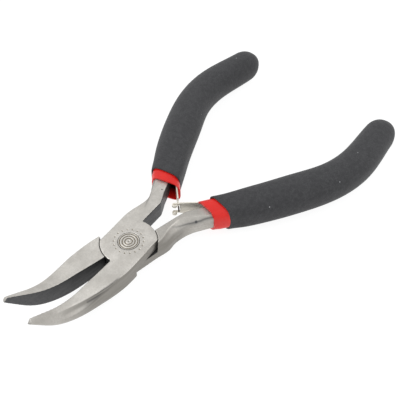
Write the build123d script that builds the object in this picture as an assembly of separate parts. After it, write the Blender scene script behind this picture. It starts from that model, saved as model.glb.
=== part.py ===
from build123d import *
import math
import os

# Mini bent-nose pliers, 125 mm long: two forged levers on a flush rivet, two interlocking leaf
# springs, and two-layer handle sleeves. Units are millimetres.
# Frame: origin on the pivot axis at the joint's underside, nose along -Y, handles along +Y, +Z up.
# Each half is drawn closed, with its jaw on -X, its handle on +X and its gripping face on X = 0.
# It is then turned to the open rest position that the springs hold.

# Joint
joint_thickness = 5.7
disc_radius = 7.85
shoulder_radius = 8.0
jaw_shoulder_start = 4.9
neck_shoulder_start = 2.4
lap_gap = 0.06
jaw_gap = 0.10
half_opening = 6.6

# Head bevels, as run and drop. One side of the head stands out further than the other: the side
# with the lower lever's jaw and the upper lever's neck.
head_half_width = 6.4
wide_side = 0.95
top_bevel = (0.3, 1.6)
bottom_bevel = (0.2, 1.2)

# Jaw stations before the bend: y, width, height
jaw_stations = (
    (0.0, 6.4, 5.7),
    (-8.0, 6.35, 5.7),
    (-12.6, 5.85, 5.95),
    (-16.8, 5.0, 6.25),
)

# Nose: an upward bend, then a straight tip
bend_radius = 21.5
bend_angle = 42.0
tip_length = 6.6
tip_width = 1.1
tip_height = 1.9
nose_steps = 6

# Neck stations: y, inner edge, outer edge
neck_stations = (
    (1.0, 1.2, 6.4),
    (5.0, 1.4, 6.45),
    (8.0, 1.5, 6.6),
    (11.0, 1.6, 6.2),
    (14.0, 1.75, 6.05),
    (17.0, 2.1, 6.6),
    (20.0, 2.95, 7.6),
)
neck_top_bevel = (1.4, 1.3)
neck_bottom_bevel = (0.6, 1.2)
tang_bevel = (0.5, 0.5)

# Sleeve centre line in the closed position, and the grip's half width at each point
centre_points = (
    (5.15, 22.85),
    (7.92, 28.44),
    (11.83, 36.46),
    (16.96, 49.37),
    (20.29, 59.64),
    (21.00, 71.07),
    (17.75, 86.61),
)
end_directions = ((0.45, 0.89), (-0.2, 0.98))
grip_half_widths = (4.8, 4.9, 5.4, 5.85, 5.6, 5.45, 4.95)
grip_half_heights = (4.3, 4.55, 5.0, 5.3, 5.3, 5.3, 5.2)
grip_corner_shares = (0.55, 0.6, 0.8, 0.9, 0.9, 0.9, 0.9)
grip_start = 3.3
grip_end_length = 6.4
dome_sweep = 82
dome_steps = 5
grip_angle = 6.0
mouth_angle = 9.0

# Inner sleeve: half width and half height at each point but the last
sleeve_sizes = (
    (4.4, 3.85),
    (4.4, 3.9),
    (4.2, 3.8),
    (3.8, 3.8),
    (3.6, 3.9),
    (3.4, 3.7),
)
sleeve_corner = 2.2

# Tang: offset from the centre line, half width and half height at each point but the last
tang_sizes = (
    (1.1, 2.4, 2.75),
    (0.9, 2.35, 2.6),
    (0.2, 2.2, 2.4),
    (0.0, 2.0, 2.1),
    (0.0, 1.8, 1.9),
    (0.0, 1.6, 1.7),
)

# Leaf springs
leaf_thickness = 0.4
leaf_root_height = 5.4
leaf_tip_height = 4.0
leaf_offset = 3.5
leaf_middle_offset = 3.3
leaf_tip = (-2.95, 18.35)
leaf_depth = 12.5
leaf_taper = 11.0
roll_radius = 0.55
roll_clearance = 0.06
fork_slot = (2.2, 2.5)
curl_radius = 0.45
hook_gap = 0.1
tee_neck = (2.4, 2.0)
tee_head = (0.8, 3.4)
pocket_offset = 3.8
pocket_inner_offsets = (2.7, 1.2, 0.5)
pocket_half_height = 3.1
pocket_lead = 3.0
socket_end_gap = 0.1

# Reach of a cutting solid past what it cuts
overcut = 12.0

# Rivet
rivet_radius = 2.0
rivet_head_radius = 2.9
rivet_clearance = 0.05

mid_z = joint_thickness / 2
up = Vector(0, 0, 1)
centre_line = Spline(*[(x, y, mid_z) for x, y in centre_points], tangents=end_directions)
stations = [centre_line.param_at_point(Vector(x, y, mid_z)) for x, y in centre_points]


def bevel_section(origin, across, rise, width, height, top, bottom):
    """Section with a flat inner side and a bevelled outer side, centred on origin in height."""
    low, high = -height / 2, height / 2
    corners = (
        (0, low),
        (width - bottom[0], low),
        (width, low + bottom[1]),
        (width, high - top[1]),
        (width - top[0], high),
        (0, high),
    )
    return make_face(Polyline(*[origin + across * a + rise * b for a, b in corners], close=True))


def jaw_section(y, z, tilt, width, height):
    """Jaw section square to the nose's centre line."""
    rise = Vector(0, math.sin(math.radians(tilt)), math.cos(math.radians(tilt)))
    share = width / head_half_width
    top = (top_bevel[0] * share, min(top_bevel[1], 0.3 * height))
    bottom = (bottom_bevel[0] * share, min(bottom_bevel[1], 0.25 * height))
    return bevel_section(Vector(0, y, z), Vector(-1, 0, 0), rise, width, height, top, bottom)


def jaw(extra_width):
    """Jaw from the pivot to the bent tip, with its gripping face cut flat."""
    heel_y, heel_width, heel_height = jaw_stations[-1]
    bend = math.radians(bend_angle)
    nose_length = bend * bend_radius + tip_length
    full_length = nose_length - heel_y
    straight = []
    for y, width, height in jaw_stations:
        extra = extra_width * (1 + y / full_length)
        straight.append(jaw_section(y, height / 2, 0, width + extra, height))
    heel_width += extra_width * nose_length / full_length
    nose = [straight[-1]]
    for i in range(1, nose_steps + 1):
        t = i / nose_steps
        turn = min(t * nose_length / bend_radius, bend)
        past = t * nose_length - turn * bend_radius
        y = heel_y - bend_radius * math.sin(turn) - past * math.cos(turn)
        z = heel_height / 2 + bend_radius * (1 - math.cos(turn)) + past * math.sin(turn)
        width = heel_width + (tip_width - heel_width) * t
        height = heel_height + (tip_height - heel_height) * (0.4 * t + 0.6 * t**2)
        nose.append(jaw_section(y, z, math.degrees(turn), width, height))
    return loft(straight, ruled=True) + loft(nose) - Box(jaw_gap, 8 * overcut, 8 * overcut)


def sleeve_plane(t, angle=None):
    """Plane across the sleeve: local X points away from the other handle, local Y points up."""
    direction = centre_line % t
    if angle is not None:
        direction = Vector(math.sin(math.radians(angle)), math.cos(math.radians(angle)), 0)
    outward = Vector(direction.Y, -direction.X, 0)
    return Plane(origin=centre_line @ t, x_dir=outward, z_dir=outward.cross(up))


def handle_bar(extra_width):
    """Neck and tang in one bar."""
    sections = []
    for y, inner, outer in neck_stations:
        share = min(max((y - 5) / 9, 0), 1)
        top = [a + (b - a) * share for a, b in zip(top_bevel, neck_top_bevel)]
        bottom = [a + (b - a) * share for a, b in zip(bottom_bevel, neck_bottom_bevel)]
        start = Vector(inner, y, mid_z)
        width = outer - inner + extra_width * (1 - y / neck_stations[-1][0])
        sections.append(
            bevel_section(start, Vector(1, 0, 0), up, width, joint_thickness, top, bottom)
        )
    for t, (offset, half_width, half_height) in zip(stations, tang_sizes):
        plane = sleeve_plane(t)
        start = plane.origin + plane.x_dir * (offset - half_width)
        sections.append(
            bevel_section(
                start, plane.x_dir, up, 2 * half_width, 2 * half_height, tang_bevel, tang_bevel
            )
        )
    return loft(sections, ruled=True)


def head_envelope(jaw_extra, neck_extra):
    """Bevelled head section drawn out along the tool."""
    corners = (
        (head_half_width - bottom_bevel[0], 0),
        (head_half_width, bottom_bevel[1]),
        (head_half_width, joint_thickness - top_bevel[1]),
        (head_half_width - top_bevel[0], joint_thickness),
    )
    right = [(x + neck_extra, -overcut, z) for x, z in corners]
    left = [(-x - jaw_extra, -overcut, z) for x, z in reversed(corners)]
    return extrude(make_face(Polyline(*right, *left, close=True)), 2 * overcut, dir=(0, 1, 0))


def lever(disc_low, disc_high, jaw_extra, neck_extra):
    """Forged lever with its lap disc between two heights of the joint."""
    other_low, other_high = -overcut, disc_low
    if disc_low == 0:
        other_low, other_high = disc_high, joint_thickness + overcut
    disc = Pos(0, 0, (disc_low + disc_high) / 2) * Cylinder(disc_radius, disc_high - disc_low)
    other_height = other_high - other_low
    across = Box(2 * overcut, jaw_shoulder_start + neck_shoulder_start, other_height)
    across = Pos(0, (neck_shoulder_start - jaw_shoulder_start) / 2) * across
    room = Cylinder(shoulder_radius, other_height) + across
    blank = jaw(jaw_extra) + handle_bar(neck_extra)
    blank -= Pos(0, 0, (other_low + other_high) / 2) * room
    return blank + (disc & head_envelope(jaw_extra, neck_extra))


def rivet(gap):
    """Rivet with countersunk flush ends, or its hole when there is a gap."""
    shaft_radius, head_radius = rivet_radius + gap, rivet_head_radius + gap
    flare = rivet_head_radius - rivet_radius
    shaft = Pos(0, 0, mid_z) * Cylinder(shaft_radius, joint_thickness)
    foot = Pos(0, 0, flare / 2) * Cone(head_radius, shaft_radius, flare)
    head = Pos(0, 0, joint_thickness - flare / 2) * Cone(shaft_radius, head_radius, flare)
    return shaft + foot + head


def inward(t, offset):
    """Point beside the centre line, offset towards the other handle."""
    plane = sleeve_plane(t)
    return plane.origin - plane.x_dir * offset


root_t = leaf_depth / centre_line.length
root = inward(root_t, leaf_offset)
leaf_mouth = inward(0, leaf_offset)
leaf_along = (leaf_mouth - Vector(*leaf_tip, mid_z)).normalized()


def leaf(tip_past):
    """Leaf spring blank with a rolled root, and the plane on its tip: X runs in along the leaf."""
    tip = Vector(*leaf_tip, mid_z) - leaf_along * tip_past
    middle = inward(root_t / 2, leaf_middle_offset)
    bend = Spline(leaf_mouth, middle, root, tangents=(leaf_along, centre_line % root_t))
    plane = Plane(origin=tip, x_dir=leaf_along, z_dir=leaf_along.cross(up))
    half_tip, half_root = leaf_tip_height / 2, leaf_root_height / 2
    full_length = leaf_taper + 2 * overcut
    upper_edge = [(0, half_tip), (leaf_taper, half_root), (full_length, half_root)]
    lower_edge = [(x, -z) for x, z in reversed(upper_edge)]
    side = make_face(Polyline(*upper_edge, *lower_edge, close=True))
    blank = extrude(plane * side, overcut, both=True)
    plan = trace(Line(tip, leaf_mouth) + bend, leaf_thickness)
    strip = extrude(Pos(0, 0, -half_root) * plan, leaf_root_height)
    roll = Pos(*root) * Cylinder(roll_radius, leaf_root_height)
    return (strip & blank) + roll, plane


def fork_leaf():
    """Leaf spring with two curled prongs at its tip."""
    blank, plane = leaf(0)
    length, height = fork_slot
    slot = plane * Pos(length / 2, 0) * Box(length, height, overcut)
    curl_height = (leaf_tip_height - height) / 2
    curl = Rot(90, 0, 0) * Cylinder(curl_radius, curl_height)
    curls = [plane * Pos(0, side * (height + curl_height) / 2) * curl for side in (-1, 1)]
    return blank - slot + curls


def tee_leaf():
    """Leaf spring with a narrow neck and a cross head that hooks behind the fork."""
    head_length, head_height = tee_head
    neck_length, neck_height = tee_neck
    blank, plane = leaf(head_length + hook_gap)
    neck_trim = Box(neck_length, overcut, overcut)
    head_trim = Box(head_length, overcut, overcut)
    for side in (-1, 1):
        neck_y = side * (neck_height + overcut) / 2
        head_y = side * (head_height + overcut) / 2
        blank -= plane * Pos(head_length + neck_length / 2, neck_y) * neck_trim
        blank -= plane * Pos(head_length / 2, head_y) * head_trim
    return blank


def sleeve_form():
    """Outside of the inner sleeve, as a solid."""
    sections = []
    for i, (half_width, half_height) in enumerate(sleeve_sizes):
        plane = sleeve_plane(stations[i], mouth_angle if i == 0 else None)
        sections.append(plane * RectangleRounded(2 * half_width, 2 * half_height, sleeve_corner))
    return loft(sections)


def spring_room():
    """Pocket and round socket for the leaf spring, beside the tang."""
    depths = (root_t, root_t / 2, 0)
    outer = [inward(t, pocket_offset) for t in depths]
    inner = [inward(t, offset) for t, offset in zip(depths, pocket_inner_offsets)]
    ends = [
        outer[-1] - leaf_along * pocket_lead,
        inner[-1] - (centre_line % 0) * pocket_lead,
    ]
    plan = make_face(Polyline(*outer, *ends, *reversed(inner), close=True))
    socket_height = leaf_root_height + 2 * socket_end_gap
    socket = Pos(*root) * Cylinder(roll_radius + roll_clearance, socket_height)
    return extrude(plan, pocket_half_height, both=True) + socket


def grip_section(plane, half_width, half_height, corner_share):
    """Rounded section of the outer grip."""
    corner = corner_share * min(half_width, half_height)
    return plane * RectangleRounded(2 * half_width, 2 * half_height, corner)


def grip_form():
    """Outside of the outer grip, as a solid with a domed end."""
    sizes = list(zip(grip_half_widths, grip_half_heights, grip_corner_shares))
    planes = [sleeve_plane(grip_start / centre_line.length, grip_angle)]
    planes += [sleeve_plane(t) for t in stations[1:]]
    sections = [grip_section(plane, *size) for plane, size in zip(planes, sizes)]
    last = planes[-1]
    half_width, half_height, corner_share = sizes[-1]
    dome = [sections[-1]]
    for i in range(1, dome_steps + 1):
        turn = math.radians(dome_sweep * i / dome_steps)
        scale = math.cos(turn)
        reach = grip_end_length * math.sin(turn)
        plane = Plane(last.origin - last.z_dir * reach, last.x_dir, last.z_dir)
        dome.append(grip_section(plane, half_width * scale, half_height * scale, corner_share))
    return loft(sections) + loft(dome)


# Discs of the two levers, one above the other
lever_low = lever(0, mid_z - lap_gap / 2, wide_side, 0)
lever_high = lever(mid_z + lap_gap / 2, joint_thickness, 0, wide_side)
bar = handle_bar(0)
inner_sleeve = sleeve_form() - bar - spring_room()
outer_grip = grip_form() - sleeve_form() - bar

closed_right = {
    "lever_lower": lever_low - rivet(rivet_clearance),
    "spring_fork": fork_leaf(),
    "sleeve_inner_right": inner_sleeve,
    "grip_outer_right": outer_grip,
}
closed_left = {
    "lever_upper": lever_high - rivet(0),
    "spring_tee": tee_leaf(),
    "sleeve_inner_left": inner_sleeve,
    "grip_outer_left": outer_grip,
}

nodes = {"pivot_rivet": rivet(0)}
for name, solid in closed_right.items():
    nodes[name] = Rot(0, 0, -half_opening) * solid
for name, solid in closed_left.items():
    nodes[name] = Rot(0, 0, half_opening) * mirror(solid, about=Plane.YZ)

os.makedirs("parts", exist_ok=True)
for name, solid in nodes.items():
    solid.label = name
    export_step(solid, f"parts/{name}.step")
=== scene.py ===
import math

import bmesh
import bpy
import numpy as np
from mathutils import Matrix, Vector

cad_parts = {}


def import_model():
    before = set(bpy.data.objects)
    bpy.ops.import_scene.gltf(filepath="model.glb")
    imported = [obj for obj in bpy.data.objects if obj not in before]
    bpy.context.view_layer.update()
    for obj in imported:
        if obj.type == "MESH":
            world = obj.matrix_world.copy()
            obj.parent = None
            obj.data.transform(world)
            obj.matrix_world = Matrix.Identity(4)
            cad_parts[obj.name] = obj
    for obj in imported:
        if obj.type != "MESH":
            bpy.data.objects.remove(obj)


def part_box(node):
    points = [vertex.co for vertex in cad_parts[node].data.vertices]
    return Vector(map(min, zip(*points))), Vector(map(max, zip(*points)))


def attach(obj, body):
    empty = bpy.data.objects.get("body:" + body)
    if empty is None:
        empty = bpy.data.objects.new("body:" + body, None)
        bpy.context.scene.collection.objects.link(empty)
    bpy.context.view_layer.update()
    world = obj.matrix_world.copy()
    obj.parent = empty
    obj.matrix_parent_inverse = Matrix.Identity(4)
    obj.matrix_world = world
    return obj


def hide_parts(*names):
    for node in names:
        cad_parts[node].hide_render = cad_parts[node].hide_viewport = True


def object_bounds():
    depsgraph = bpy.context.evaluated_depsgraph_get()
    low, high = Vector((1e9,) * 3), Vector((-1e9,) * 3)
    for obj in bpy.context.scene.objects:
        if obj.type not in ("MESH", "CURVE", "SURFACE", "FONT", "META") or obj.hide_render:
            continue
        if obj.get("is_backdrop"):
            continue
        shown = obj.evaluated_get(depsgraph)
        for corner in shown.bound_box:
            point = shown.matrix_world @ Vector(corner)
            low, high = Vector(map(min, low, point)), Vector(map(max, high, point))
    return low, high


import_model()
cad_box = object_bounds()

# Lengths are millimetres until a mesh is made. Each lever is shaped as the closed right half, with
# its jaw on -X and its handle on +X, and then turned to rest. The left half is its mirror image.
MM = 0.001
RIGHT, LEFT = 1, -1
HALF_OPENING = math.radians(6.6)

# Head and joint
JOINT_HEIGHT = 5.7
MIDDLE = JOINT_HEIGHT / 2
LAP_GAP = 0.06
DISC_RADIUS = 7.85
SHOULDER_RADIUS = 7.93
JAW_SHOULDER = -4.9
NECK_SHOULDER = 2.4
# Voxel and smoothing steps that give a lever its soft forged edges
VOXEL = 0.14
RELAX_STEPS = 3
# How far cutters reach: past the jaw tip, the disc's ends, the head's sides, its top and a bore
PAST_TIP = 60
PAST_DISC = 12
PAST_SIDE = 20
PAST_LAP = 4
PAST_BORE = 2
# Head section across the tool: half width and height at each corner of its side. The side on the
# lower lever's jaw stands out further than the other.
HEAD_SIDE = ((6.2, 0.0), (6.42, 1.2), (6.42, 4.1), (6.1, 5.7))
WIDER = 0.5
JAW_GAP = 0.10

# Jaw: distance along its centre line from the pivot, width, height, and the lower lever's extra width
JAW_STATIONS = (
    (0.0, 6.4, 5.7, 0.5),
    (4.0, 6.4, 5.7, 0.55),
    (8.0, 6.35, 5.72, 0.65),
    (11.0, 6.05, 5.85, 0.7),
    (13.0, 5.75, 6.0, 0.72),
    (15.0, 5.4, 6.15, 0.75),
    (16.8, 5.0, 6.28, 0.78),
    (22.4, 4.03, 5.9, 0.9),
    (28.1, 3.05, 4.95, 0.7),
    (33.7, 2.1, 3.4, 0.3),
    (39.8, 0.95, 1.35, 0.0),
)
BEND_START = 13.7
BEND_EASE = 5.0
BEND_LENGTH = 15.75
BEND_RADIUS = 21.5
GRIND_START = 9.0
JAW_STEP = 0.1
STEPS_PER_RING = 5
# How much of the jaw's top is ground away at the tip, and how far that edge drops
GRIND = {RIGHT: (0.16, 0.1), LEFT: (0.42, 0.2)}

# Outer side of each neck: y, then the x of the top edge, the x and depth of the crease below it, the
# x and depth where the side stands out furthest, and the x of the bottom edge
NECK_STATIONS = {
    RIGHT: (
        (1.0, 6.1, 6.3, 1.4, 6.42, 2.85, 6.2),
        (5.0, 5.7, 6.2, 1.4, 6.5, 2.85, 6.3),
        (8.0, 5.0, 6.1, 1.5, 6.75, 3.0, 6.5),
        (9.5, 4.4, 5.8, 1.6, 6.55, 3.0, 6.3),
        (11.0, 3.8, 5.4, 1.6, 6.2, 2.9, 5.8),
        (13.2, 3.35, 5.2, 1.6, 6.05, 2.8, 5.6),
        (15.4, 3.2, 5.5, 1.2, 6.2, 2.4, 5.7),
        (17.4, 4.2, 6.1, 1.0, 6.8, 2.2, 6.1),
        (18.9, 5.2, 6.75, 0.8, 7.3, 2.0, 6.6),
        (20.0, 5.9, 7.2, 0.8, 7.7, 2.0, 7.1),
    ),
    LEFT: (
        (1.0, 6.65, 6.85, 1.4, 6.95, 2.85, 6.7),
        (5.0, 6.75, 6.95, 1.2, 7.05, 2.85, 6.8),
        (8.0, 6.65, 6.9, 1.0, 7.05, 2.8, 6.75),
        (11.0, 6.0, 6.3, 0.8, 6.5, 2.6, 6.1),
        (13.2, 5.45, 5.75, 0.7, 5.95, 2.4, 5.55),
        (16.0, 5.3, 5.65, 0.7, 5.9, 2.2, 5.5),
        (17.5, 5.8, 6.15, 0.7, 6.45, 2.2, 6.05),
        (18.9, 6.4, 6.75, 0.7, 7.1, 2.2, 6.65),
        (20.0, 7.05, 7.35, 0.8, 7.75, 2.0, 7.25),
    ),
}
# Inner edge of each neck, as y and x: it runs straight and then turns out to the tang
INNER_EDGES = {
    RIGHT: ((1.0, 1.3), (8.5, 1.7), (15.6, 2.0), (18.0, 2.2), (20.0, 2.9)),
    LEFT: ((1.0, 1.2), (8.5, 1.25), (16.2, 1.25), (18.0, 2.0), (20.0, 2.9)),
}
# Tang inside the sleeve: distance along, its inner and outer side, and its half height
TANG_STATIONS = {
    RIGHT: ((0.5, -1.05, 3.5, 2.75), (4.0, -0.95, 3.35, 2.65), (14.0, -1.5, 2.3, 2.3)),
    LEFT: ((0.5, -1.3, 3.5, 2.75), (4.0, -1.35, 3.35, 2.65), (14.0, -1.9, 2.3, 2.3)),
}
# How much painted shade darkens the lower lever's neck
NECK_SHADE = 0.36
# Crease between the neck's ground top and its ground outer wall, in plan, and its line and haze,
# painted as dark skin and painted shade
CREASE = ((3.9, 12.2), (4.7, 14.3), (5.55, 16.5), (6.65, 18.6), (7.5, 20.8), (8.4, 22.6), (9.5, 25.0))
CREASE_WIDTH = 0.22
CREASE_HAZE = 0.6
# Creases on the side of the jaw, in plan, above its hollow and below it, painted with shade, and the
# width of each
JAW_CREASE_WIDTHS = (0.18, 0.25)
JAW_CREASES = (
    ((-5.7, -10.7), (-5.15, -14.5), (-4.4, -18.0), (-3.5, -21.0)),
    ((-5.3, -15.0), (-5.1, -16.0), (-3.9, -21.0), (-3.3, -24.7), (-2.8, -26.6)),
)
# Small dark pit in the steel of each lever, and its radius
PITS = {RIGHT: ((6.65, 18.6, 4.8), 0.5), LEFT: ((4.0, 20.4, 5.7), 0.26)}

# Sleeve centre line, and the grip's half width, half height and corner share at each point
CENTRE_POINTS = (
    (5.15, 22.85),
    (7.92, 28.44),
    (11.83, 36.46),
    (16.96, 49.37),
    (20.29, 59.64),
    (21.00, 71.07),
    (17.75, 86.61),
)
END_DIRECTIONS = ((0.45, 0.89), (-0.2, 0.98))
GRIP_SIZES = (
    (4.8, 4.3, 0.55),
    (4.9, 4.55, 0.6),
    (5.4, 5.0, 0.8),
    (5.85, 5.3, 0.9),
    (5.6, 5.3, 0.9),
    (5.45, 5.3, 0.9),
    (4.95, 5.2, 0.9),
)
# Where each grip starts along its sleeve, and how far its lip is turned
GRIP_STARTS = {RIGHT: (4.6, math.radians(3)), LEFT: (3.4, math.radians(6))}
# Where one side of a grip is squeezed thinner or swells: which side, distance along, depth and reach
PINCHES = {RIGHT: (-1, 8.3, 0.6, 4.5), LEFT: (1, 4.5, -0.35, 3.5)}
# How far along the turn of the lip has faded out
GRIP_TURN_END = 14
GRIP_END = 6.4
GRIP_WALL = 0.55
GRIP_STEP = 0.8
SLEEVE_HALF_WIDTH = 4.4
SLEEVE_HALF_HEIGHT = 3.85
SLEEVE_CORNER = 0.7
SLEEVE_WALL = 0.6
SLEEVE_DEPTH = 16.0
SLEEVE_EDGE = 0.26
# How far along the sleeve the turn and the extra width of its mouth have faded out
MOUTH_TURN_END = 5
MOUTH_WIDTH_END = 3
TANG_SLACK = 0.28
# Mouth of each sleeve: set back, turn, extra width on the inner side, slip towards that side, share of
# the full height, and the half height and inward reach of its hollow
MOUTHS = {
    RIGHT: (0.6, math.radians(5), -0.3, 0.0, 1.0, 2.85, 3.45),
    LEFT: (0.4, math.radians(9), 0.75, 0.22, 0.94, 3.1, 4.5),
}

# Leaf springs, along from the tip. The fork is on the right lever and the tee on the left.
LEAF_THICKNESS = 0.38
LEAF_TIPS = {RIGHT: (-2.72, 18.71), LEFT: (-3.26, 18.65)}
LEAF_OFFSETS = {RIGHT: 3.2, LEFT: 3.7}
LEAF_ROOT_OFFSETS = {RIGHT: 2.9, LEFT: 3.3}
LEAF_DEPTH = 12.5
LEAF_HEIGHTS = (4.0, 5.4)
LEAF_TAPER = 11.0
CURL_RADIUS = 0.55
BLADE_STARTS = {RIGHT: 1.5, LEFT: 2.9}
# Lower and upper edge of each prong, and how far the prongs run
PRONG_EDGES = ((-2.0, -1.2), (1.2, 2.0))
PRONG_LENGTH = 2.4
# Neck and cross head: start, end and half height
TEE_STEPS = ((0.5, 3.4, 0.75), (0.3, 0.8, 1.0))

# Rivet
RIVET_RADIUS = 2.0
RIVET_HEAD_RADIUS = 2.9
RIVET_CLEARANCE = 0.05
RIVET_PROUD = 0.01
GROOVE_RADII = (1.0, 1.75, 2.5)
GROOVE_DEPTH = 0.14
# Ring of punched dots: its radius, how many, and each punch's sides and the radius and height of
# its two ends
DOT_RING = 4.1
DOT_COUNT = 18
DOT_SIDES = 12
PUNCH = ((0.05, JOINT_HEIGHT - 0.2), (0.55, JOINT_HEIGHT + 0.2))

# Camera: place in metres, azimuth, elevation and roll in degrees, lens and sensor in mm
CAMERA_PLACE = (0.08784, -0.07263, 0.14697)
CAMERA_ANGLES = (40.73, 47.92, 0.59)
CAMERA_LENS = 60.0
CAMERA_SENSOR = 36.0


# ---------------------------------------------------------------- curves and outlines


def cubic(knots, values, slopes=None):
    """Smooth curve through values at knots, as a function. slopes fixes the slope at its two ends."""
    knots = np.asarray(knots, float)
    values = np.asarray(values, float).reshape(len(knots), -1)
    steps = np.diff(knots)
    count = len(knots)
    matrix, known = np.zeros((count, count)), np.zeros_like(values)
    for i in range(1, count - 1):
        before, after = steps[i - 1], steps[i]
        matrix[i, i - 1 : i + 2] = after, 2 * (before + after), before
        rise_before, rise_after = values[i] - values[i - 1], values[i + 1] - values[i]
        known[i] = 3 * (after * rise_before / before + before * rise_after / after)
    if slopes is None:
        matrix[0, :2], matrix[-1, -2:] = (2, 1), (1, 2)
        known[0] = 3 * (values[1] - values[0]) / steps[0]
        known[-1] = 3 * (values[-1] - values[-2]) / steps[-1]
    else:
        matrix[0, 0] = matrix[-1, -1] = 1
        known[0], known[-1] = slopes
    tangents = np.linalg.solve(matrix, known)

    def at(u):
        i = int(np.clip(np.searchsorted(knots, u) - 1, 0, count - 2))
        t = (u - knots[i]) / steps[i]
        a, b = values[i], values[i + 1]
        p, q = tangents[i] * steps[i], tangents[i + 1] * steps[i]
        return a + p * t + (3 * (b - a) - 2 * p - q) * t**2 + (2 * (a - b) + p + q) * t**3

    return at


def unit(vector):
    vector = np.asarray(vector, float)
    return vector / np.linalg.norm(vector)


def smooth(value, low, high):
    """0 below low and 1 above high, with an eased step between."""
    t = np.clip((value - low) / (high - low), 0, 1)
    return t * t * (3 - 2 * t)


centre_knots = np.concatenate(
    ([0], np.cumsum(np.linalg.norm(np.diff(np.array(CENTRE_POINTS), axis=0), axis=1)))
)
centre_at = cubic(centre_knots, CENTRE_POINTS, [unit(d) for d in END_DIRECTIONS])
grip_size_at = cubic(centre_knots, GRIP_SIZES)


def centre_frame(u):
    """Point on the sleeve's centre line, its direction, and the way out from the other handle."""
    along = unit(centre_at(u + 0.01) - centre_at(u - 0.01))
    return centre_at(u), along, np.array([along[1], -along[0]])


def rounded(corners, radius, steps=3):
    """Closed outline through corners, each rounded off, with the same number of points at each."""
    corners = np.asarray(corners, float)
    points = []
    for i, corner in enumerate(corners):
        before, after = corners[i - 1] - corner, corners[(i + 1) % len(corners)] - corner
        reach = min(radius, 0.45 * np.linalg.norm(before), 0.45 * np.linalg.norm(after))
        start, end = corner + unit(before) * reach, corner + unit(after) * reach
        for t in np.linspace(0, 1, steps + 1):
            points.append((1 - t) ** 2 * start + 2 * t * (1 - t) * corner + t**2 * end)
    return np.array(points)


def oval(half_width, half_height, corner_share, count=64):
    """Soft rounded rectangle; a corner share of 1 is an ellipse."""
    power = math.log(2) / -math.log(1 - 0.2929 * corner_share)
    angles = np.arange(count) * 2 * math.pi / count
    radius = (np.abs(np.cos(angles)) ** power + np.abs(np.sin(angles)) ** power) ** (-1 / power)
    return np.stack([half_width * radius * np.cos(angles), half_height * radius * np.sin(angles)], 1)


def across(outline, origin, outward):
    """Outline of outward and upward distances, stood up in the plane across a centre line."""
    x = origin[0] + outline[:, 0] * outward[0]
    y = origin[1] + outline[:, 0] * outward[1]
    return np.stack([x, y, MIDDLE + outline[:, 1]], 1)


# ---------------------------------------------------------------- meshes


def rest(points, side):
    """Points of the closed right half, in mm, at rest on one side of the tool, in metres."""
    points = np.asarray(points, float)
    c, s = math.cos(HALF_OPENING), math.sin(HALF_OPENING)
    x = points[..., 0] * c + points[..., 1] * s
    y = -points[..., 0] * s + points[..., 1] * c
    return np.stack([side * x, y, points[..., 2]], -1) * MM


def closed(points, side):
    """The reverse of rest()."""
    points = np.asarray(points, float) / MM
    c, s = math.cos(HALF_OPENING), math.sin(HALF_OPENING)
    x, y = side * points[..., 0], points[..., 1]
    return np.stack([x * c - y * s, x * s + y * c, points[..., 2]], -1)


def make(name, points, faces):
    """A new object from points in metres, its faces turned outward."""
    mesh = bpy.data.meshes.new(name)
    mesh.from_pydata([tuple(p) for p in points], [], faces)
    work = bmesh.new()
    work.from_mesh(mesh)
    bmesh.ops.recalc_face_normals(work, faces=work.faces)
    work.to_mesh(mesh)
    work.free()
    mesh.polygons.foreach_set("use_smooth", [True] * len(mesh.polygons))
    piece = bpy.data.objects.new(name, mesh)
    bpy.context.scene.collection.objects.link(piece)
    return piece


def skin(name, rings, side):
    """A closed tube through rings of points."""
    rings = np.asarray(rings, float)
    count, size = rings.shape[:2]
    faces = [
        (i * size + j, i * size + (j + 1) % size, (i + 1) * size + (j + 1) % size, (i + 1) * size + j)
        for i in range(count - 1)
        for j in range(size)
    ]
    faces += [tuple(range(size))[::-1], tuple(range((count - 1) * size, count * size))]
    return make(name, rest(rings.reshape(-1, 3), side), faces)


def prism(name, outline, low, high, side):
    """A plan outline stood up between two heights."""
    rings = [[(x, y, z) for x, y in outline] for z in (low, high)]
    return skin(name, rings, side)


def circle(radius, centre=(0, 0), count=160):
    angles = np.arange(count) * 2 * math.pi / count
    return np.stack([centre[0] + radius * np.cos(angles), centre[1] + radius * np.sin(angles)], 1)


def apply_modifiers(piece):
    graph = bpy.context.evaluated_depsgraph_get()
    mesh = bpy.data.meshes.new_from_object(piece.evaluated_get(graph))
    piece.modifiers.clear()
    piece.data = mesh


def combine(piece, tool, operation):
    """Exact boolean of two pieces; the tool is used up."""
    modifier = piece.modifiers.new("combine", "BOOLEAN")
    modifier.object, modifier.operation, modifier.solver = tool, operation, "EXACT"
    apply_modifiers(piece)
    bpy.data.objects.remove(tool)
    return piece


def remesh(piece, size, smoothing):
    """Even quads with softly rounded edges, as on a forging that has been ground and tumbled."""
    modifier = piece.modifiers.new("remesh", "REMESH")
    modifier.mode, modifier.voxel_size, modifier.use_smooth_shade = "VOXEL", size * MM, True
    relax = piece.modifiers.new("relax", "SMOOTH")
    relax.factor, relax.iterations = 0.5, smoothing
    apply_modifiers(piece)
    return piece


def soften(piece, width, angle, segments):
    """Rounds the edges sharper than an angle in degrees."""
    modifier = piece.modifiers.new("soften", "BEVEL")
    modifier.width, modifier.segments = width * MM, segments
    modifier.limit_method, modifier.angle_limit = "ANGLE", math.radians(angle)
    apply_modifiers(piece)
    piece.data.polygons.foreach_set("use_smooth", [True] * len(piece.data.polygons))
    return piece


def paint(piece, name, values):
    """A number at each vertex, for the materials."""
    attribute = piece.data.attributes.new(name, "FLOAT", "POINT")
    attribute.data.foreach_set("value", np.asarray(values, np.float32))


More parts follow.
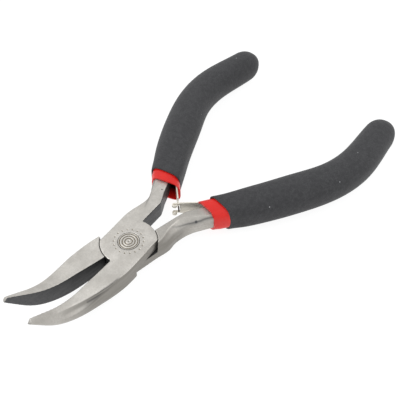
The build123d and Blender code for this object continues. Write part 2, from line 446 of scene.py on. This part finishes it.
def vertices_and_normals(piece):
    mesh = piece.data
    places, normals = np.zeros(len(mesh.vertices) * 3), np.zeros(len(mesh.vertices) * 3)
    mesh.vertices.foreach_get("co", places)
    mesh.vertex_normals.foreach_get("vector", normals)
    return places.reshape(-1, 3), normals.reshape(-1, 3)


# ---------------------------------------------------------------- levers


def jaw_ring(y, z, tilt, width, height, nose, side):
    """Jaw section square to its centre line. nose runs from 0 at the head to 1 at the tip."""
    low, high = -height / 2, height / 2
    ground = smooth(nose, 0, 0.75)
    lost, drop = GRIND[side]
    ridge = width * (0.97 - lost * smooth(nose, 0.22, 0.62))
    ridge_height = high - drop * height * smooth(nose, 0.15, 0.8)
    swell_height = high - height * (0.14 + 0.45 * ground)
    foot = width * (0.985 - 0.4 * ground)
    foot_height = low + height * (0.25 - 0.05 * ground)
    hollow = 0.28 * math.sin(math.pi * min(1.2 * nose, 1))
    outline = rounded(
        (
            (0, low),
            (foot, low),
            (width * (1 - 0.12 * ground), foot_height),
            (width, swell_height),
            ((ridge + width) / 2 - hollow, (ridge_height + swell_height) / 2 - 0.5 * hollow),
            (ridge, ridge_height),
            (0, high),
        ),
        0.07 * width,
    )
    a, b = outline[:, 0], outline[:, 1]
    return np.stack([-a, y + b * math.sin(tilt), z + b * math.cos(tilt)], 1)


def jaw(name, side):
    """Jaw with its upward bend and flat gripping face."""
    stations = np.array(JAW_STATIONS)
    size_at = cubic(stations[:, 0], stations[:, 1:])
    full_length = stations[-1, 0]
    y, z, turn = 0.0, 0.0, 0.0
    rings = []
    for i in range(int(full_length / JAW_STEP) + 1):
        s = i * JAW_STEP
        if i % STEPS_PER_RING == 0:
            width, height, extra = size_at(s)
            if side == RIGHT:
                width += extra
            nose = max(s - GRIND_START, 0) / (full_length - GRIND_START)
            lift = (height - JOINT_HEIGHT) / 2 * (1 - smooth(s, BEND_START, full_length))
            rings.append(jaw_ring(y, MIDDLE + z + lift, turn, width, height, nose, side))
        past = s - BEND_START
        ease = smooth(past, 0, BEND_EASE) * (1 - smooth(past, BEND_LENGTH, BEND_LENGTH + BEND_EASE))
        turn += ease * JAW_STEP / BEND_RADIUS
        y -= JAW_STEP * math.cos(turn)
        z += JAW_STEP * math.sin(turn)
    piece = skin(name, rings, side)
    # Cuts the section off flat, just short of the plane where the two jaws meet
    slab = [(-JAW_GAP / 2, -PAST_TIP), (2, -PAST_TIP), (2, 10), (-JAW_GAP / 2, 10)]
    return combine(piece, prism("slab", slab, -5, 25, side), "DIFFERENCE")


def handle_bar(name, side):
    """Neck and tang, down to where the sleeve hides them."""
    stations = np.array(NECK_STATIONS[side])
    shape_at = cubic(stations[:, 0], stations[:, 1:])
    edge = np.array(INNER_EDGES[side])
    rings = []
    for y in np.arange(stations[0, 0], stations[-1, 0] + 0.01, 0.5):
        top, crease, crease_depth, swell, swell_depth, foot = shape_at(y)
        inner = np.interp(y, edge[:, 0], edge[:, 1])
        corners = (
            (inner, -MIDDLE),
            (foot, -MIDDLE),
            (swell, MIDDLE - swell_depth),
            (crease, MIDDLE - crease_depth),
            (top, MIDDLE),
            (inner, MIDDLE),
        )
        outline = rounded(corners, 0.3)
        rings.append(np.stack([outline[:, 0], np.full(len(outline), y), outline[:, 1] + MIDDLE], 1))
    for u, low, high, half_height in TANG_STATIONS[side]:
        origin, _, outward = centre_frame(u)
        corners = (
            (low, -half_height),
            (high - 0.8, -half_height),
            (high, 0.8 - half_height),
            (high, half_height - 0.9),
            (high - 1.0, half_height),
            (low, half_height),
        )
        rings.append(across(rounded(corners, 0.4), origin, outward))
    return skin(name, rings, side)


def lap_disc(name, low, high, side):
    """Disc of the lap joint, cut to the head's bevelled section."""
    wide, narrow = (WIDER, 0) if side == LEFT else (0, WIDER)
    outline = [(x + wide, z) for x, z in HEAD_SIDE] + [(-x - narrow, z) for x, z in reversed(HEAD_SIDE)]
    rings = [[(x, y, z) for x, z in outline] for y in (-PAST_DISC, PAST_DISC)]
    disc = prism(name, circle(DISC_RADIUS), low, high, side)
    return combine(disc, skin("envelope", rings, side), "INTERSECT")


def lever(name, side):
    """Forged lever: the left one carries the upper disc, and the right one the lower disc."""
    upper = side == LEFT
    disc_low, disc_high = (MIDDLE + LAP_GAP / 2, JOINT_HEIGHT) if upper else (0, MIDDLE - LAP_GAP / 2)
    room_low, room_high = (-PAST_LAP, disc_low) if upper else (disc_high, JOINT_HEIGHT + PAST_LAP)
    piece = combine(jaw(name, side), handle_bar("bar", side), "UNION")
    low_edge = [(-PAST_SIDE, JAW_SHOULDER), (PAST_SIDE, JAW_SHOULDER)]
    high_edge = [(PAST_SIDE, NECK_SHOULDER), (-PAST_SIDE, NECK_SHOULDER)]
    for outline in (circle(SHOULDER_RADIUS), low_edge + high_edge):
        combine(piece, prism("room", outline, room_low, room_high, side), "DIFFERENCE")
    combine(piece, lap_disc("disc", disc_low, disc_high, side), "UNION")
    bore_outline = circle(RIVET_RADIUS + RIVET_CLEARANCE)
    bore = prism("bore", bore_outline, -PAST_BORE, JOINT_HEIGHT + PAST_BORE, side)
    combine(piece, bore, "DIFFERENCE")
    head_low, head_high = (JOINT_HEIGHT - 1, JOINT_HEIGHT + 1) if upper else (-1, 1)
    seat = prism("seat", circle(RIVET_HEAD_RADIUS + RIVET_CLEARANCE), head_low, head_high, side)
    combine(piece, seat, "DIFFERENCE")
    remesh(piece, VOXEL, RELAX_STEPS)
    if upper:
        combine(piece, punch_marks(), "DIFFERENCE")
    # Dark paint with painted shade in gaps and creases, painted shade on the side walls and in the
    # slot's root
    paint(piece, "dark", lever_darkness(piece, side))
    paint(piece, "shade", lever_shade(piece, side))
    paint(piece, "slot_shade", lever_slot_shade(piece, side))
    if upper:
        paint(piece, "tarnish_and_shade", lever_tarnish(piece))
    return piece


def punch_marks():
    """Cones that punch a plain ring of dots round the rivet."""
    points, faces = [], []
    for k in range(DOT_COUNT):
        angle = 2 * math.pi * k / DOT_COUNT
        centre = np.array([DOT_RING * math.cos(angle), DOT_RING * math.sin(angle)])
        start = len(points)
        for radius, z in PUNCH:
            points += [(*point, z) for point in circle(radius, centre, DOT_SIDES)]
        lower = [start + i for i in range(DOT_SIDES)]
        upper = [start + DOT_SIDES + i for i in range(DOT_SIDES)]
        faces += [lower[::-1], upper]
        for i in range(DOT_SIDES):
            j = (i + 1) % DOT_SIDES
            faces.append((lower[i], lower[j], upper[j], upper[i]))
    return make("dots", np.array(points) * MM, faces)


def distance_to_line(points, line):
    """Distance in plan from points to a bent line."""
    best = np.full(len(points), np.inf)
    line = np.array(line, float)
    for a, b in zip(line, line[1:]):
        t = np.clip((points - a) @ (b - a) / np.dot(b - a, b - a), 0, 1)
        best = np.minimum(best, np.linalg.norm(points - a - t[:, None] * (b - a), axis=1))
    return best


def closed_shape(piece, side):
    """Places and normals of a piece's vertices as the closed right half has them."""
    places, normals = vertices_and_normals(piece)
    turned = closed(normals * MM, side)
    turned /= np.maximum(np.linalg.norm(turned, axis=1, keepdims=True), 1e-9)
    return closed(places, side), turned


def lever_shade(piece, side):
    """Painted shade: 0 on the bright ground flats, 1 on the side walls, painted duller for the light
    they miss.
    """
    p, n = closed_shape(piece, side)
    tang = smooth(p[:, 1], 12, 18) * (p[:, 0] > 0)
    nose = smooth(-p[:, 1], 18, 30)
    walls = smooth(0.985 - n[:, 2], 0.0, 0.6) * (1 - 0.65 * tang) * (1 - 0.65 * nose)
    # Painted shade over the lower lever's neck, past the shoulder
    neck = NECK_SHADE * (side == RIGHT) * (p[:, 1] > 0) * (np.hypot(p[:, 0], p[:, 1]) > SHOULDER_RADIUS)
    return np.maximum(walls, neck)


def lever_slot_shade(piece, side):
    """How much painted shade blackens the dark paint: 1 in the root of the jaws' slot, fading towards
    the tips.
    """
    p, _ = closed_shape(piece, side)
    return (1 - smooth(-p[:, 1], 5, 30)) * (1 - smooth(p[:, 1], 2, 8))


def lever_darkness(piece, side):
    """1 where painted dark: the inner walls, a pit, the jaw's end, and painted shade in the lap, gaps
    and creases.
    """
    p, n = closed_shape(piece, side)
    x, y, z = p.T
    radius = np.hypot(x, y)
    inward = -np.sign(x) * n[:, 0]
    face = smooth(inward, 0.55, 0.75) * (radius > 7.2)
    # Painted shadow on the lap faces between the two levers
    lap = smooth(np.abs(n[:, 2]), 0.6, 0.8) * (np.abs(z - MIDDLE) < 0.35)
    # Painted shadow on the shoulder walls, in the gap round the other lever's disc
    toward_pivot = -(n[:, 0] * x + n[:, 1] * y) / np.maximum(radius, 0.1)
    seat = smooth(toward_pivot, 0.5, 0.7) * (radius < 9.5)
    # Painted shade on the walls at the root of the jaws' slot
    rim = smooth(-n[:, 1], 0.5, 0.7) * (y < -5) * (radius < 8.2)
    # Neck crease: partly dark skin left in its groove and partly painted shade, with a faint painted
    # shade beside it
    off_crease = distance_to_line(p[:, :2], CREASE)
    sharp, haze = [np.exp(-((off_crease / width) ** 2)) for width in (CREASE_WIDTH, CREASE_HAZE)]
    crease = (0.65 * sharp + 0.1 * haze) * smooth(y, 10, 17) * (z > MIDDLE) * (x > 0)
    pit_place, pit_radius = PITS[side]
    pit = 1 - smooth(np.linalg.norm(p - pit_place, axis=1) / pit_radius, 0.6, 1.2)
    # Painted shade in the creases along the side of the left lever's jaw
    on_nose = smooth(n[:, 2], 0.1, 0.3) * smooth(-y, 10, 12) * (1 - smooth(-y, 19, 25))
    upper_crease, lower_crease = [
        np.exp(-((distance_to_line(p[:, :2], line) / width) ** 2)) * on_nose * (side == LEFT)
        for line, width in zip(JAW_CREASES, JAW_CREASE_WIDTHS)
    ]
    tip = 0.35 * smooth(y.min() + 0.4 - y, 0, 0.25)
    marks = [face, lap, 0.6 * seat, rim, crease, pit, 0.65 * upper_crease, 0.25 * lower_crease, tip]
    return np.clip(np.maximum.reduce(marks), 0, 1)


def lever_tarnish(piece):
    """1 in the punched dots."""
    places, _ = vertices_and_normals(piece)
    x, y, z = places.T / MM
    off_ring = np.abs(np.hypot(x, y) - DOT_RING)
    return smooth(JOINT_HEIGHT - z, 0.01, 0.12) * (off_ring < 0.5) * (z > JOINT_HEIGHT - 0.5)


# ---------------------------------------------------------------- rivet


def lathe(name, profile, count=128):
    """A turned piece on the pivot axis, from (radius, height) points that start and end on it."""
    profile = np.array(profile, float)
    angles = np.arange(count) * 2 * math.pi / count
    points = [(0, 0, profile[0, 1])]
    points += [(r * math.cos(a), r * math.sin(a), z) for r, z in profile[1:-1] for a in angles]
    points += [(0, 0, profile[-1, 1])]
    rows = len(profile) - 2
    last = len(points) - 1
    faces = []
    for j in range(count):
        k = (j + 1) % count
        faces.append((0, 1 + k, 1 + j))
        faces.append((last, last - count + j, last - count + k))
        for i in range(rows - 1):
            a, b = 1 + i * count, 1 + (i + 1) * count
            faces.append((a + j, a + k, b + k, b + j))
    return make(name, np.array(points) * MM, faces)


def rivet(name):
    """Flush rivet with turned rings and a punched centre in its upper end."""
    top = JOINT_HEIGHT + RIVET_PROUD
    flare = RIVET_HEAD_RADIUS - RIVET_RADIUS
    flat = RIVET_HEAD_RADIUS - 0.06
    profile = [(0, top - 0.22), (0.3, top)]
    for radius in GROOVE_RADII:
        floor_height = top - GROOVE_DEPTH
        profile += [(radius - 0.2, top), (radius - 0.06, floor_height)]
        profile += [(radius + 0.06, floor_height), (radius + 0.2, top)]
    profile += [(flat, top), (RIVET_HEAD_RADIUS, top - 0.07), (RIVET_RADIUS, top - flare - 0.05)]
    profile += [(RIVET_RADIUS, flare), (RIVET_HEAD_RADIUS, 0.06), (flat, 0), (0, 0)]
    piece = lathe(name, profile)
    places, _ = vertices_and_normals(piece)
    depth = top - places[:, 2] / MM
    paint(piece, "tarnish_and_shade", smooth(depth, 0.01, 0.12))
    return piece


# ---------------------------------------------------------------- sleeves and grips


def pinch(side, u):
    """How much thinner one side of a grip is at a distance along it."""
    _, place, depth, reach = PINCHES[side]
    return depth * math.exp(-(((u - place) / reach) ** 2))


def sleeve(name, side):
    """Hard inner sleeve with a rounded mouth and the hollow that the leaf spring runs into."""
    set_back, turn, extra, slip, tall, hollow_height, reach = MOUTHS[side]
    mouth_direction = np.array([math.cos(turn), -math.sin(turn)])
    rings, hollow = [], []
    for u in np.linspace(0, SLEEVE_DEPTH, 17):
        origin, along, outward = centre_frame(u)
        share = smooth(u, 0, MOUTH_TURN_END)
        outward = unit(mouth_direction * (1 - share) + outward * share)
        half_height = SLEEVE_HALF_HEIGHT * (tall + (1 - tall) * share)
        outline = oval(SLEEVE_HALF_WIDTH, half_height, SLEEVE_CORNER)
        inner = outline[:, 0] < 0
        thinner = max(pinch(side, u), 0)
        at_mouth = 1 - smooth(u, 0, MOUTH_WIDTH_END)
        wider = min(extra, 0) + max(extra, 0) * at_mouth
        outline[inner, 0] *= 1 + (wider - thinner) / SLEEVE_HALF_WIDTH
        outline[:, 0] -= slip * at_mouth
        rings.append(across(outline, origin + along * set_back * (1 - share), outward))
    for u, near_side in ((-3, 0.3), (0.6, 0.3), (4, -0.3), (8, -0.3)):
        origin, along, outward = centre_frame(max(u, 0))
        far_side = -reach
        if u < 1:
            outward = mouth_direction
        else:
            far_side = max(pinch(side, u), 0) - min(reach, SLEEVE_HALF_WIDTH - SLEEVE_WALL)
        low_edge = [(far_side, -hollow_height), (near_side, -hollow_height)]
        high_edge = [(near_side, hollow_height), (far_side, hollow_height)]
        outline = rounded(low_edge + high_edge, 1.5, 6)
        hollow.append(across(outline, origin + along * min(u, 0), outward))
    piece = combine(skin(name, rings, side), skin("hollow", hollow, side), "DIFFERENCE")
    combine(piece, tang_room(side), "DIFFERENCE")
    soften(piece, SLEEVE_EDGE, 40, 4)
    paint(piece, "shadow", hollow_depth(piece, side))
    return piece


def tang_room(side):
    """Slack round the tang at the mouth of its sleeve."""
    _, low, high, half_height = TANG_STATIONS[side][0]
    tall, wide = half_height + TANG_SLACK, high + TANG_SLACK
    corners = ((low, -tall), (wide, -tall), (wide, tall), (low, tall))
    rings = []
    for u in (-3, 1.5):
        origin, along, outward = centre_frame(max(u, 0))
        rings.append(across(rounded(corners, 0.6), origin + along * min(u, 0), outward))
    return skin("room", rings, side)


def hollow_depth(piece, side):
    """Painted shadow: 0 on the outside and at the lip of a sleeve, and 1 well inside its hollow."""
    p, n = closed_shape(piece, side)
    mouth, along, outward = centre_frame(0)
    across_mouth = (p[:, :2] - mouth) @ outward
    facing = n[:, :2] @ outward * across_mouth + n[:, 2] * (p[:, 2] - MIDDLE)
    return smooth((p[:, :2] - mouth) @ along, 0.7, 2.2) * (facing < 0)


def grip(name, side):
    """Soft outer grip: a thick-lipped tube with a domed end."""
    end = centre_knots[-1]
    start, turn = GRIP_STARTS[side]

    def ring(u, scale=1.0, shrink=0.0, beyond=0.0):
        origin, along, outward = centre_frame(min(u, end))
        if u < GRIP_TURN_END:
            share = smooth(u, start, GRIP_TURN_END)
            lip = np.array([math.cos(turn), -math.sin(turn)])
            outward = unit(lip * (1 - share) + outward * share)
        half_width, half_height, corner = grip_size_at(u)
        outline = oval(half_width * scale - shrink, half_height * scale - shrink, min(corner, 0.95), 72)
        pinched = outline[:, 0] * PINCHES[side][0] > 0
        outline[pinched, 0] *= 1 - pinch(side, u) / half_width
        return across(outline, origin + along * beyond, outward)

    rings = [ring(u, shrink=GRIP_WALL) for u in (GRIP_TURN_END, 7, start + 0.3)]
    rings += [ring(start + u, shrink=shrink) for u, shrink in ((0.02, 0.32), (0, 0.18), (0.1, 0.05))]
    rings += [ring(u) for u in np.arange(start + 0.3, end, GRIP_STEP)]
    for dome in np.radians(np.arange(0, 90, 6)):
        rings.append(ring(end, scale=math.cos(dome), beyond=GRIP_END * math.sin(dome)))
    return skin(name, rings, side)


# ---------------------------------------------------------------- leaf springs


def leaf_path(side):
    """Point on the leaf's middle line in plan at a distance from its tip, and the leaf's length."""
    mouth, _, mouth_out = centre_frame(0)
    mouth = mouth - mouth_out * LEAF_OFFSETS[side]
    tip = np.array(LEAF_TIPS[side])
    along = unit(mouth - tip)
    root, root_along, root_out = centre_frame(LEAF_DEPTH)
    root = root - root_out * LEAF_ROOT_OFFSETS[side]
    bend = cubic([0, np.linalg.norm(root - mouth)], [mouth, root], [along, root_along])
    straight = np.linalg.norm(mouth - tip)
    rest_length = np.linalg.norm(root - mouth)

    def at(s):
        if s <= straight:
            return tip + along * s
        return bend(s - straight)

    return at, straight + rest_length


def strip(name, side, plan, low, high):
    """Length of leaf that follows points in plan, between a lower and an upper edge at each point."""
    plan = np.asarray(plan, float)
    directions = np.gradient(plan, axis=0)
    half = LEAF_THICKNESS / 2
    rings = []
    for point, direction, bottom, top in zip(plan, directions, low, high):
        along = unit(direction)
        corners = ((-half, bottom), (half, bottom), (half, top), (-half, top))
        rings.append(across(rounded(corners, 0.1, 2), point, np.array([along[1], -along[0]])))
    return skin(name, rings, side)


def stretch(side, start, end, count):
    """Points of the leaf's middle line between two distances from its tip."""
    at, _ = leaf_path(side)
    return [at(s) for s in np.linspace(start, end, count)]


def leaf_blade(name, side):
    """The leaf from a distance behind its tip to its root, growing taller towards the root."""
    _, length = leaf_path(side)
    start, count = BLADE_STARTS[side], 40
    edge = 0.5 * np.interp(np.linspace(start, length, count), (0, LEAF_TAPER), LEAF_HEIGHTS)
    return strip(name, side, stretch(side, start, length, count), -edge, edge)


def fork(name, side):
    """Leaf spring with two prongs, each curled round at its end."""
    piece = leaf_blade(name, side)
    at, _ = leaf_path(side)
    along = unit(at(1) - at(0))
    outward = np.array([along[1], -along[0]])
    curl = [
        at(0) + CURL_RADIUS * (outward * (1 - math.cos(a)) - along * math.sin(a))
        for a in np.radians(np.arange(250, 0, -15))
    ]
    plan = curl + stretch(side, 0, PRONG_LENGTH, 8)
    count = len(plan)
    for low, high in PRONG_EDGES:
        combine(piece, strip("prong", side, plan, [low] * count, [high] * count), "UNION")
    return piece


def tee(name, side):
    """Leaf spring with a narrow neck and a cross head, with painted shade at its very tip."""
    piece = leaf_blade(name, side)
    for start, end, half in TEE_STEPS:
        part = strip("part", side, stretch(side, start, end, 8), [-half] * 8, [half] * 8)
        combine(piece, part, "UNION")
    # Painted shade at the very tip, where the tee sits in the fork's slot
    places, _ = vertices_and_normals(piece)
    off_tip = np.linalg.norm(closed(places, side)[:, :2] - np.array(LEAF_TIPS[side]), axis=1)
    paint(piece, "tarnish_and_shade", 1 - smooth(off_tip, 0.7, 1.1))
    return piece


# ---------------------------------------------------------------- materials


class Shader:
    """Builds a material's nodes in few words."""

    def __init__(self, name):
        self.material = bpy.data.materials.new(name)
        self.material.use_nodes = True
        self.tree = self.material.node_tree
        self.surface = self.tree.nodes["Principled BSDF"]
        self.place = self.tree.nodes.new("ShaderNodeTexCoord").outputs["Object"]

    def feed(self, socket, value):
        """Gives a socket another node's output, or a fixed number or colour."""
        if hasattr(value, "is_output"):
            self.tree.links.new(value, socket)
        elif isinstance(value, tuple) and len(socket.default_value) == 4:
            socket.default_value = (*value, 1)
        else:
            socket.default_value = value

    def node(self, kind, settings=None, **inputs):
        node = self.tree.nodes.new("ShaderNode" + kind)
        for key, value in (settings or {}).items():
            setattr(node, key, value)
        for key, value in inputs.items():
            self.feed(node.inputs[key.replace("_", " ")], value)
        return node

    def noise(self, per_mm, detail=3.0, roughness=0.55, stretch=(1, 1, 1)):
        scaled = self.node("Mapping", {"vector_type": "POINT"}, Vector=self.place, Scale=stretch)
        return self.node(
            "TexNoise",
            Vector=scaled.outputs[0],
            Scale=per_mm / MM,
            Detail=detail,
            Roughness=roughness,
        ).outputs["Fac"]

    def cells(self, per_mm):
        """Distance from the nearest of many scattered points."""
        cells = self.node("TexVoronoi", Vector=self.place, Scale=per_mm / MM, Randomness=1.0)
        return cells.outputs["Distance"]

    def ramp(self, value, low, high, start=0.0, end=1.0):
        return self.node(
            "MapRange",
            {"interpolation_type": "SMOOTHSTEP"},
            Value=value,
            **{"From Min": low, "From Max": high, "To Min": start, "To Max": end},
        ).outputs[0]

    def mix(self, share, first, second):
        node = self.tree.nodes.new("ShaderNodeMix")
        node.data_type = "RGBA"
        for place, value in ((0, share), (6, first), (7, second)):
            self.feed(node.inputs[place], value)
        return node.outputs[2]

    def attribute(self, name):
        return self.node("Attribute", {"attribute_name": name}).outputs["Fac"]

    def math(self, operation, first, second):
        node = self.tree.nodes.new("ShaderNodeMath")
        node.operation = operation
        for socket, value in zip(node.inputs, (first, second)):
            self.feed(socket, value)
        return node.outputs[0]

    def bump(self, height, distance, strength):
        node = self.node("Bump", Height=height, Distance=distance * MM, Strength=strength)
        self.tree.links.new(node.outputs[0], self.surface.inputs["Normal"])

    def set(self, **inputs):
        for key, value in inputs.items():
            self.feed(self.surface.inputs[key.replace("_", " ")], value)


def steel_material():
    """Ground satin steel with painted shade on its sides and in its gaps and creases, dark forged skin
    and brown tarnish.
    """
    s = Shader("ground_steel")
    cloud = s.noise(0.26, 5)
    grain = s.noise(2.2, 5, 0.7)
    lines = s.noise(1.3, 3, 0.6, (1.0, 0.12, 1.0))
    stain = s.ramp(s.noise(0.45, 5, 0.7), 0.6, 0.78)
    bright = s.mix(s.ramp(cloud, 0.3, 0.7), (0.51, 0.487, 0.45), (0.625, 0.6, 0.56))
    bright = s.mix(s.math("MULTIPLY", stain, 0.4), bright, (0.40, 0.365, 0.31))
    bright = s.mix(s.ramp(grain, 0.35, 0.7, 0.0, 0.55), bright, (0.44, 0.42, 0.385))
    # Painted shade on the side walls and on the lower lever's neck
    bright = s.mix(s.math("MULTIPLY", s.attribute("shade"), 0.94), bright, (0.235, 0.222, 0.2))
    bright = s.mix(s.attribute("tarnish_and_shade"), bright, (0.13, 0.105, 0.065))
    # Dark paint: the inner walls, dark skin, and painted shade in gaps and creases
    dark = s.mix(s.ramp(grain, 0.3, 0.7), (0.046, 0.046, 0.048), (0.075, 0.075, 0.077))
    # Painted shade blackens the dark paint towards the root of the jaws' slot
    dark = s.mix(s.attribute("slot_shade"), dark, (0.008, 0.008, 0.008))
    share = s.attribute("dark")
    s.set(Base_Color=s.mix(share, bright, dark), Metallic=s.ramp(share, 0, 1, 0.82, 0.25))
    s.set(Roughness=s.ramp(lines, 0.25, 0.75, 0.4, 0.56))
    s.bump(s.math("ADD", s.math("MULTIPLY", lines, 0.6), grain), 0.018, 0.6)
    return s.material


def spring_material():
    """Pale warm spring steel with fine drawn lines, and painted shade at the tee's tip."""
    s = Shader("spring_steel")
    lines = s.noise(1.6, 4, 0.6, (0.25, 0.25, 1.6))
    colour = s.mix(s.ramp(lines, 0.3, 0.7), (0.66, 0.62, 0.53), (0.80, 0.76, 0.67))
    # Painted shade at the tee's tip
    colour = s.mix(s.attribute("tarnish_and_shade"), colour, (0.05, 0.045, 0.04))
    s.set(Base_Color=colour, Metallic=0.4, Roughness=s.ramp(lines, 0.2, 0.8, 0.3, 0.45))
    s.bump(lines, 0.01, 0.4)
    return s.material


def red_material():
    """Glossy red vinyl with a faint orange-peel surface, a faint painted glow, and painted shadow deep
    in its hollow.
    """
    s = Shader("red_vinyl")
    cloud = s.noise(0.35, 3)
    peel = s.noise(1.1, 2)
    colour = s.mix(s.ramp(cloud, 0.3, 0.7), (0.47, 0.011, 0.008), (0.53, 0.016, 0.011))
    colour = s.mix(s.attribute("shadow"), colour, (0.03, 0.004, 0.004))
    # Painted light: a faint red glow from the vinyl, none in its painted shadow
    painted_glow = s.mix(s.attribute("shadow"), (0.8, 0.012, 0.01), (0.0, 0.0, 0.0))
    s.set(Base_Color=colour, Roughness=s.ramp(peel, 0.3, 0.7, 0.3, 0.4))
    s.set(Coat_Weight=0.12, Coat_Roughness=0.14, Specular_IOR_Level=0.3)
    s.set(Emission_Color=painted_glow, Emission_Strength=0.15)
    s.bump(peel, 0.02, 0.35)
    return s.material


def foam_material():
    """Matte black dipped foam with fine pores and a few pale specks."""
    s = Shader("black_foam")
    grain = s.noise(2.6, 6, 0.75)
    pores = s.cells(2.4)
    cloud = s.noise(0.12, 3)
    colour = s.mix(s.ramp(grain, 0.3, 0.7), (0.030, 0.030, 0.032), (0.058, 0.058, 0.061))
    colour = s.mix(s.ramp(cloud, 0.3, 0.7, 0.0, 0.3), colour, (0.036, 0.036, 0.038))
    blotch = s.noise(0.8, 4, 0.7)
    colour = s.mix(s.ramp(blotch, 0.4, 0.62, 0.0, 0.5), colour, (0.024, 0.024, 0.026))
    speck = s.cells(0.16)
    colour = s.mix(s.ramp(speck, 0.02, 0.036, 0.7, 0.0), colour, (0.42, 0.42, 0.43))
    s.set(Base_Color=colour, Roughness=0.86, Specular_IOR_Level=0.3)
    s.set(Sheen_Weight=0.12, Sheen_Roughness=0.5)
    s.bump(s.math("ADD", s.math("MULTIPLY", s.ramp(pores, 0.0, 0.45), 0.7), grain), 0.05, 0.6)
    return s.material


# ---------------------------------------------------------------- the tool


def dress(piece, material, slot, body, *nodes):
    """Gives a piece its finish and its place in the frame."""
    piece.data.materials.clear()
    piece.data.materials.append(material)
    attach(piece, body)
    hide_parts(*nodes)
    return piece


steel, spring_steel, red, foam = steel_material(), spring_material(), red_material(), foam_material()
dress(lever("lever_upper_skin", LEFT), steel, "steel", "lever_upper", "lever_upper")
dress(lever("lever_lower_skin", RIGHT), steel, "steel", "lever_lower", "lever_lower")
dress(rivet("rivet_ringed"), steel, "rivet_steel", "lever_upper", "pivot_rivet")
for side, word, body in ((LEFT, "left", "lever_upper"), (RIGHT, "right", "lever_lower")):
    dress(sleeve(f"collar_{word}", side), red, "red_plastic", body, f"sleeve_inner_{word}")
    foam_grip = dress(grip(f"grip_{word}", side), foam, "black_foam", body, f"grip_outer_{word}")
dress(fork("leaf_forked", RIGHT), spring_steel, "spring_steel", "leaf_fork", "spring_fork")
dress(tee("leaf_hooked", LEFT), spring_steel, "spring_steel", "leaf_tee", "spring_tee")


# ---------------------------------------------------------------- stage, light and camera


def floor():
    """Plain white table under the grips."""
    low = min(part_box(node)[0][2] for node in ("grip_outer_left", "grip_outer_right"))
    size = 3.0
    corners = [(-size, -size, low), (size, -size, low), (size, size, low), (-size, size, low)]
    piece = make("floor", corners, [(0, 1, 2, 3)])
    s = Shader("white_table")
    s.set(Base_Color=(0.12, 0.12, 0.12), Roughness=0.9)
    s.set(Emission_Color=(1.0, 1.0, 1.0), Emission_Strength=0.92)
    piece.data.materials.append(s.material)
    piece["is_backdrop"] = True


def softbox(name, place, size, power):
    """Square area light that looks at the tool."""
    data = bpy.data.lights.new(name, "AREA")
    data.size, data.energy = size, power
    lamp = bpy.data.objects.new(name, data)
    bpy.context.scene.collection.objects.link(lamp)
    lamp.location = place
    lamp.rotation_euler = (Vector((0, 0.02, 0)) - Vector(place)).to_track_quat("-Z", "Y").to_euler()


def world():
    """Pale even surroundings."""
    studio = bpy.data.worlds.new("studio")
    studio.use_nodes = True
    background = studio.node_tree.nodes["Background"]
    background.inputs["Color"].default_value = (0.93, 0.94, 0.95, 1)
    background.inputs["Strength"].default_value = 0.85
    bpy.context.scene.world = studio


def camera():
    """Camera where the photograph's stood."""
    data = bpy.data.cameras.new("camera")
    data.lens, data.sensor_width = CAMERA_LENS, CAMERA_SENSOR
    data.clip_start, data.clip_end = 0.01, 10
    piece = bpy.data.objects.new("camera", data)
    bpy.context.scene.collection.objects.link(piece)
    azimuth, elevation, roll = [math.radians(angle) for angle in CAMERA_ANGLES]
    level = math.cos(elevation)
    back = Vector((math.sin(azimuth) * level, -math.cos(azimuth) * level, math.sin(elevation)))
    right = Vector((math.cos(azimuth), math.sin(azimuth), 0))
    lift = back.cross(right)
    turned = right * math.cos(roll) + lift * math.sin(roll)
    axes = Matrix((turned, back.cross(turned), back)).transposed()
    piece.matrix_world = Matrix.Translation(CAMERA_PLACE) @ axes.to_4x4()
    bpy.context.scene.camera = piece


floor()
softbox("key", place=(-0.30, -0.20, 0.60), size=0.5, power=2.2)
softbox("fill", place=(0.30, 0.35, 0.50), size=0.4, power=0.9)
world()
camera()
bpy.context.scene.view_settings.view_transform = "Standard"

sizes = {"cad": cad_box, "visual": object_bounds()}
{key: [list(corner) for corner in box] for key, box in sizes.items()}
